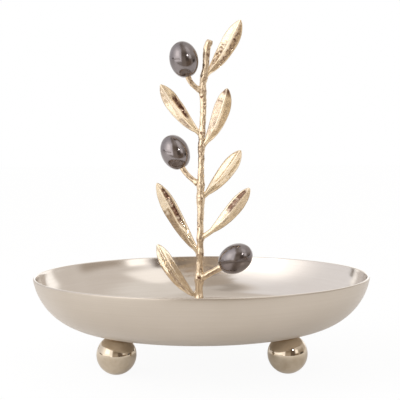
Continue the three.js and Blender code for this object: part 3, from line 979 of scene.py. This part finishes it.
@dataclass
class Olive:
    """Smooth oval on a bent stalk. Millimetres and degrees, with the groove's angles in radians."""

    name: str
    station: float
    turn: float
    reach: float
    climb: float
    tilt: float
    length: float = 18.1
    diameter: float = 14.2
    dimple_depth: float = 0.5
    dimple_radius: float = 1.8
    segments: int = 64
    rounds: int = 48
    stalk_diameter: float = 2.6
    stalk_bend: float = 4.2
    stalk_grip: float = 1.5
    stalk_rings: int = 60
    stalk_sides: int = 36
    knot_rise: float = 0.4
    knot_share: float = 0.17
    knot_length: float = 0.09
    collar_rise: float = 0.12
    collar_length: float = 0.16
    bark_relief: float = 0.13
    bark_girth: float = 1.3
    bark_fineness: float = 0.6
    pit_sink: float = 0.16
    pit_fineness: float = 1.4
    pit_rarity: float = 0.12
    # Groove along the stalk's front: angle, meander, width, depth and painted shade.
    groove_angle: float = 1.45
    groove_drift: float = 0.5
    groove_width: float = 0.3
    groove_depth: float = 0.22
    groove_painted_shade: float = 0.6

    def ends(self, stem: Stem) -> tuple[Vector, Vector, Vector]:
        """Finds where the olive hangs.

        Args:
            stem: the twig that the stalk springs from.

        Returns:
            The stalk's start, the olive's stalk end and the olive's direction.
        """
        start = stem.path.at(self.station)
        end = start + rising(self.turn, 0) * self.reach + Vector((0, 0, self.climb))
        return start, end, rising(self.turn, self.tilt)

    def build(self, workshop: Workshop, stem: Stem) -> list[bpy.types.Object]:
        """Makes the olive and its stalk.

        Args:
            workshop: maker of the pieces.
            stem: the twig that the stalk springs from.

        Returns:
            The olive's and the stalk's objects.
        """
        start, end, axis = self.ends(stem)
        return [self._olive(workshop, end, axis), self._stalk(workshop, start, end, axis)]

    def _olive(self, workshop: Workshop, end: Vector, axis: Vector) -> bpy.types.Object:
        """Makes the oval, dimpled where its stalk goes in.

        Args:
            workshop: maker of the piece.
            end: the olive's stalk end.
            axis: the olive's direction.

        Returns:
            The olive's object.
        """
        bm = bmesh.new()
        bmesh.ops.create_uvsphere(bm, u_segments=self.segments, v_segments=self.rounds, radius=1)
        size = (self.diameter / 2, self.diameter / 2, self.length / 2)
        bmesh.ops.scale(bm, vec=size, verts=bm.verts[:])
        bmesh.ops.translate(bm, vec=(0, 0, self.length / 2), verts=bm.verts[:])
        for vert in bm.verts:
            if vert.co.z < self.length / 2:
                vert.co.z += self.dimple_depth * bell(vert.co.to_2d().length, self.dimple_radius)
        lean = Vector((0, 0, 1)).rotation_difference(axis).to_matrix().to_4x4()
        bmesh.ops.transform(bm, matrix=Matrix.Translation(end) @ lean, verts=bm.verts[:])
        return workshop.piece(bm, f"olive_{self.name}", Slot.BLACK_NICKEL, workshop.finishes.black_nickel)

    def _stalk(self, workshop: Workshop, start: Vector, end: Vector, axis: Vector) -> bpy.types.Object:
        """Makes the stalk, from inside the stem's bark into the olive's dimple.

        Args:
            workshop: maker of the piece.
            start: the stalk's start, in the stem's middle.
            end: the olive's stalk end.
            axis: the olive's direction.

        Returns:
            The stalk's object.
        """
        path = Path(bow_line(start, end - axis * self.stalk_bend, end + axis * self.stalk_grip))
        bm = pull_limb(path, lambda share, angle: self._bark(share, angle, path.length),
                       self.stalk_rings, self.stalk_sides)
        return workshop.piece(bm, f"olive_stalk_{self.name}", Slot.PALE_GOLD, workshop.finishes.gold_bark)

    def _bark(self, share: float, angle: float, length: float) -> tuple[float, float]:
        """The stalk's surface: a knot near the stem, a collar at the olive, a groove with painted shade along
        its front.

        Args:
            share: share of the stalk's length.
            angle: angle round the stalk in radians.
            length: the stalk's length.

        Returns:
            The radius and the share of a full tint of pits and painted groove shade.
        """
        height, shift = share * length, self.station * 90
        place = on_limb(angle, self.bark_girth, height * self.bark_fineness + shift)
        pits = pit_depth(place * self.pit_fineness, self.pit_rarity)
        swell = self.knot_rise * bell(share - self.knot_share, self.knot_length)
        swell += self.collar_rise * bell(1 - share, self.collar_length)
        drift = self.groove_drift * noise.noise(Vector((height * 0.5, shift, 0)))
        groove = bell(angle - self.groove_angle - drift, self.groove_width)
        groove *= ease(share, 0.25, 0.4) * ease(1 - share, 0.08, 0.2)
        radius = self.stalk_diameter / 2 + swell + self.bark_relief * noise.noise(place)
        sunk = self.pit_sink * pits + self.groove_depth * groove
        # The groove's tint is painted shade.
        return radius - sunk, max(pits, self.groove_painted_shade * groove)


@dataclass
class Branch:
    """The cast branch: its twig, seven leaves and three olives."""

    base: float
    leaves: tuple[Leaf, ...] = (
        Leaf("leaf_top_right", station=0.874, turn=10, rise=56.2, length=33.39, width=8.2, petiole=3.6,
             bow=3.2, lift=2, roll=-2, fold=-22, pitting=1.2, seed=1.3, pit_pitch=1.1, hollows=(
                 Hollow(1, 0.15, 0.97, 0.12, 0.8, 0.15, 0.3), Hollow(-1, 0.12, 0.62, 0.15, 0.85, 0.15, 0.3))),
        Leaf("leaf_upper_right", station=0.634, turn=-13, rise=65, length=31.4, width=8.2, petiole=4,
             bow=4.4, lift=-1.5, roll=-2, fold=-18, pitting=0.3, seed=5.2, pit_pitch=1.4, hollows=(
                 Hollow(-1, 0.91, 1.0, 0.0, 0.9, 0.15, 0.8), Hollow(1, 0.9, 1.0, 0.0, 0.9, 0.15, 0.8),
                 Hollow(-1, 0.2, 0.85, 0.1, 1.0, 0.05, 0.36))),
        Leaf("leaf_middle_right", station=0.456, turn=12, rise=49, length=31.4, width=7.8, petiole=4.4,
             bow=2.4, lift=2, roll=-4, fold=-22, pitting=0.08, seed=9.7),
        Leaf("leaf_lower_right", station=0.32, turn=-10, rise=45.2, length=35, width=7.2, petiole=7,
             bow=4, lift=1.5, roll=-3, fold=-22, pitting=0.12, seed=14.1, hollows=(
                 Hollow(-1, 0.56, 0.97, 0.08, 0.75, 0.35, 0.85),)),
        Leaf("leaf_upper_left", station=0.676, turn=190, rise=50.4, length=32.3, width=7.8, petiole=3.6,
             bow=3.4, lift=-8, roll=-6, fold=-18, pitting=0.3, seed=18.4, hollows=(
                 Hollow(1, 0.34, 0.76, 0.3, 0.86, 0.4, 0.9), Hollow(-1, 0.2, 0.4, 0.2, 0.9, 0.1, 0.45),
                 Hollow(-1, 0.7, 0.98, 0.1, 1.2, 0.05, 0.25))),
        Leaf("leaf_middle_left", station=0.264, turn=170, rise=58.8, length=41.4, width=7.8, petiole=4,
             bow=2.6, lift=2, roll=-4, fold=-20, pitting=0.12, seed=23.9, hollows=(
                 Hollow(1, 0.44, 0.94, 0.12, 0.72, 0.4, 0.9), Hollow(-1, 0.12, 0.66, 0.1, 1.2, 0.05, 0.3))),
        Leaf("leaf_bottom_left", station=0.108, turn=188, rise=52.2, length=34, width=7.8, petiole=5,
             bow=4, lift=-8, roll=-16, fold=10, pitting=0.1, seed=28.6, hook=5.2, hollows=(
                 Hollow(-1, 0.2, 0.62, 0.08, 0.45, 0.3, 0.35),)),
    )
    olives: tuple[Olive, ...] = (
        Olive("upper", station=0.824, turn=196, reach=7.4, climb=6.5, tilt=76.4, groove_painted_shade=0.3),
        Olive("middle", station=0.502, turn=168, reach=9.1, climb=8.1, tilt=65.5),
        Olive("lower", station=0.178, turn=-14, reach=10.7, climb=5.8, tilt=31, stalk_diameter=3.1),
    )

    def build(self, workshop: Workshop) -> None:
        """Makes the twig, then everything that springs from it.

        Args:
            workshop: maker of the pieces.
        """
        springing = (*self.leaves, *self.olives)
        stem = Stem(self.base, [piece.station for piece in springing])
        stem.build(workshop)
        for piece in springing:
            piece.build(workshop, stem)


@dataclass
class Hardware:
    """Studs, screw and washer, which keep their solids."""

    nodes: tuple[str, ...] = (
        "foot_stud_front_left", "foot_stud_front_right", "foot_stud_rear", "branch_screw", "branch_washer")

    def dress(self, workshop: Workshop) -> None:
        """Gives each solid the plain steel finish.

        Args:
            workshop: maker of the finish's material.
        """
        for name in self.nodes:
            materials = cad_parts[name].data.materials
            materials.clear()
            materials.append(workshop.material(workshop.finishes.plain_steel))
            LOG.info("%s: finish only", name)


@dataclass(frozen=True)
class Panel:
    """A soft-edged panel of the studio, in degrees right of the camera's side and above level."""

    left: float
    right: float
    low: float
    high: float
    soft: float
    light: tuple[float, float, float]


@dataclass(frozen=True)
class Softbox:
    """A lamp that faces the branch, in metres and in degrees as a panel's."""

    name: str
    turn: float
    rise: float
    distance: float
    width: float
    height: float
    light: float
    glints: bool


@dataclass
class Studio:
    """Pale floor, soft light and the camera. Metres and degrees.

    Each panel covers those before it. Directions run from 360 degrees below the seam up to the seam.
    """

    lip_height: float
    camera_distance: float = 0.460
    camera_over_lip: float = 0.05805
    camera_aside: float = -0.00044
    camera_pitch: float = 2.59
    camera_roll: float = -0.4
    lens: float = 83.6
    sensor: float = 36.0
    floor_front: float = -0.18
    floor_size: float = 6.0
    floor_cells: int = 8
    floor_colour: float = 0.93
    floor_glow: float = 0.94
    floor_glint: float = 0.3
    lamp_aim: float = 0.09
    seam: float = 150.0
    base_light: tuple[float, float, float] = (0.82, 0.778, 0.742)
    panels: tuple[Panel, ...] = (
        Panel(56, 200, 53, 120, 16, (0.97, 0.95, 0.93)),
        Panel(-260, -186, 53, 120, 16, (0.97, 0.95, 0.93)),
        Panel(-192, -142, 62, 120, 12, (0.72, 0.68, 0.64)),
        Panel(138, 200, -40, 17, 7, (1.5, 1.49, 1.48)),
        Panel(-260, -166, -40, 15, 10, (1.42, 1.41, 1.4)),
        Panel(-150, 40, -15, 69, 9, (1.0, 1.0, 1.04)),
        Panel(-86, 40, -40, 54, 56, (1.66, 1.66, 1.7)),
        Panel(-80, -20, -15, 46, 24, (1.68, 1.68, 1.71)),
        Panel(-66, -37, 8, 38, 12, (2.5, 2.5, 2.52)),
        Panel(-112, -10, -60, -10, 18, (0.6, 0.56, 0.52)),
        Panel(-94, -19, -15, 3, 6, (1.95, 1.95, 1.98)),
        Panel(-108, -82, -7, 3, 3, (0.25, 0.22, 0.2)),
        Panel(-82, -30, -5, -1, 2, (0.6, 0.55, 0.5)),
        Panel(-152, -145, -10, 12, 3, (1.32, 1.3, 1.28)),
        Panel(-144, -139, -10, 8, 2, (0.3, 0.27, 0.24)),
        Panel(-155, 40, 73, 120, 6, (0.5, 0.46, 0.42)),
        Panel(-155, 40, 81, 120, 5, (0.7, 0.67, 0.64)),
        Panel(-19, 33, -70, 71, 9, (0.56, 0.49, 0.42)),
        Panel(-33, 33, 52, 90, 10, (0.62, 0.56, 0.5)),
        Panel(-45, 33, 62, 90, 8, (0.56, 0.5, 0.44)),
        Panel(-56, 0, 69, 90, 5, (0.54, 0.48, 0.42)),
        Panel(0, 45, 47, 90, 10, (0.78, 0.73, 0.68)),
        Panel(-13, 16, 13, 37, 14, (0.36, 0.3, 0.24)),
        Panel(18, 62, -70, 8, 12, (0.36, 0.28, 0.21)),
        Panel(13, 40, -8, 35, 8, (0.19, 0.15, 0.12)),
        Panel(32, 70, 36, 69, 12, (1.36, 1.34, 1.32)),
        Panel(44, 60, 8, 25, 5, (1.75, 1.73, 1.71)),
        Panel(64, 104, -70, 20, 12, (0.52, 0.46, 0.4)),
        Panel(73, 95, -5, 7, 6, (0.1, 0.09, 0.08)),
        Panel(105, 132, -10, 5, 6, (1.05, 1.03, 1.0)),
        Panel(-205, -160, 14, 50, 10, (1.25, 1.23, 1.2)),
        Panel(-159, -148, 14, 52, 7, (0.55, 0.49, 0.43)),
    )
    lamps: tuple[Softbox, ...] = (
        Softbox("floor_softbox", -62, 32, 0.6, 0.4, 0.4, 2.45, False),
        Softbox("sparkle_lamp", 31, 24, 0.9, 0.035, 0.035, 120.0, True),
    )

    def build(self) -> None:
        """Sets up the camera, the floor and the light."""
        self._camera()
        self._floor()
        self._world()
        self._lamps()
        bpy.context.scene.view_settings.view_transform = "Standard"

    def _camera(self) -> None:
        """Stands the camera in front of the dish, a little above its rim."""
        data = bpy.data.cameras.new("camera")
        data.sensor_fit, data.sensor_width, data.lens = "HORIZONTAL", self.sensor, self.lens
        camera = bpy.data.objects.new("camera", data)
        tilt = Matrix.Rotation(math.radians(90 - self.camera_pitch), 4, "X")
        place = Matrix.Translation(
            (self.camera_aside, -self.camera_distance, self.lip_height + self.camera_over_lip))
        camera.matrix_world = place @ tilt @ Matrix.Rotation(math.radians(self.camera_roll), 4, "Z")
        bpy.context.scene.collection.objects.link(camera)
        bpy.context.scene.camera = camera

    def _floor(self) -> None:
        """Lays the pale floor."""
        bm = bmesh.new()
        bmesh.ops.create_grid(
            bm, x_segments=self.floor_cells, y_segments=self.floor_cells, size=self.floor_size)
        bmesh.ops.translate(bm, vec=(0, self.floor_front + self.floor_size, 0), verts=bm.verts[:])
        mesh = bpy.data.meshes.new("floor")
        bm.to_mesh(mesh)
        bm.free()
        mesh.materials.append(self._floor_material())
        floor = bpy.data.objects.new("floor", mesh)
        bpy.context.scene.collection.objects.link(floor)

    def _floor_material(self) -> bpy.types.Material:
        """Makes the floor's material, matt and near white to the camera.

        Returns:
            The material, which keeps the object's shadow.
        """
        made = bpy.data.materials.new("pale_floor")
        made.use_nodes = True
        graph = Graph(made.node_tree)
        matt = graph.add("ShaderNodeBsdfDiffuse", {"Color": (*[self.floor_colour] * 3, 1)}).outputs[0]
        glow = graph.add("ShaderNodeEmission", {"Color": (1, 1, 1, 1), "Strength": 1.0}).outputs[0]
        rays = graph.add("ShaderNodeLightPath", {}).outputs
        glint = graph.math("MAXIMUM", rays["Is Glossy Ray"], rays["Is Transmission Ray"])
        share = graph.math("MAXIMUM", graph.math("MULTIPLY", rays["Is Camera Ray"], self.floor_glow),
                           graph.math("MULTIPLY", glint, self.floor_glint))
        both = graph.add("ShaderNodeMixShader", {0: share, 1: matt, 2: glow}).outputs[0]
        graph.add("ShaderNodeOutputMaterial", {"Surface": both})
        return made

    def _world(self) -> None:
        """Hangs the soft panels round the dish; the camera sees plain white behind it."""
        world = bpy.data.worlds.new("studio")
        bpy.context.scene.world = world
        world.use_nodes = True
        graph = Graph(world.node_tree)
        direction = graph.add("ShaderNodeTexCoord", {}).outputs["Generated"]
        x, y, z = graph.add("ShaderNodeSeparateXYZ", {"Vector": direction}).outputs
        degrees = math.degrees(1)
        turn = graph.math("ARCTAN2", x, graph.math("MULTIPLY", y, -1.0))
        turn = graph.math("MULTIPLY", turn, degrees)
        past_seam = graph.math("GREATER_THAN", turn, self.seam)
        turn = graph.math("SUBTRACT", turn, graph.math("MULTIPLY", past_seam, 360.0))
        rise = graph.math("MULTIPLY", graph.math("ARCSINE", z), degrees)
        light: object = (*self.base_light, 1)
        for panel in self.panels:
            across = self._within(graph, turn, panel.left, panel.right, panel.soft)
            upwards = self._within(graph, rise, panel.low, panel.high, panel.soft)
            light = graph.mix(graph.math("MULTIPLY", across, upwards), light, (*panel.light, 1))
        seen = graph.add("ShaderNodeLightPath", {}).outputs["Is Camera Ray"]
        light = graph.mix(seen, light, (1, 1, 1, 1))
        sky = graph.add("ShaderNodeBackground", {"Color": light, "Strength": 1.0}).outputs[0]
        graph.add("ShaderNodeOutputWorld", {"Surface": sky})

    def _within(self, graph: Graph, value: Socket, low: float, high: float, soft: float) -> Socket:
        """Tells how far a direction lies within a panel.

        Args:
            graph: the world's node tree.
            value: the direction's turn or rise.
            low: where the panel starts.
            high: where it ends.
            soft: the width of its soft edges.

        Returns:
            A socket that is 1 within the panel and 0 outside.
        """
        half = soft / 2
        past_low = graph.step(value, low - half, low + half)
        before_high = graph.step(graph.math("MULTIPLY", value, -1.0), -high - half, -high + half)
        return graph.math("MULTIPLY", past_low, before_high)

    def _lamps(self) -> None:
        """Hangs each lamp facing the branch, unseen by the camera."""
        aim = Vector((0, 0, self.lamp_aim))
        for lamp in self.lamps:
            data = bpy.data.lights.new(lamp.name, "AREA")
            data.shape, data.size, data.size_y = "RECTANGLE", lamp.width, lamp.height
            data.energy = lamp.light * math.pi * lamp.width * lamp.height
            hung = bpy.data.objects.new(lamp.name, data)
            hung.location = aim + rising(-90 + lamp.turn, lamp.rise) * lamp.distance
            hung.rotation_euler = (aim - hung.location).to_track_quat("-Z", "Y").to_euler()
            hung.visible_camera, hung.visible_glossy = False, lamp.glints
            bpy.context.scene.collection.objects.link(hung)


def main() -> None:
    """Builds the object's pieces in order, then the studio."""
    logging.basicConfig(level=logging.INFO, format="%(message)s")
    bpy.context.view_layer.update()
    dish_low, dish_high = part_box("dish")
    workshop = Workshop(Finishes())
    dish = Dish(dish_low.z / MM)
    dish.build(workshop)
    for place in FootPlace:
        BallFoot(place, dish.floor_arc).build(workshop)
    Branch(dish.underside + dish.wall + JOINT_GAP).build(workshop)
    Hardware().dress(workshop)
    Studio(dish_high.z - dish.wall / 2 * MM).build()


if __name__ == "__main__":
    main()
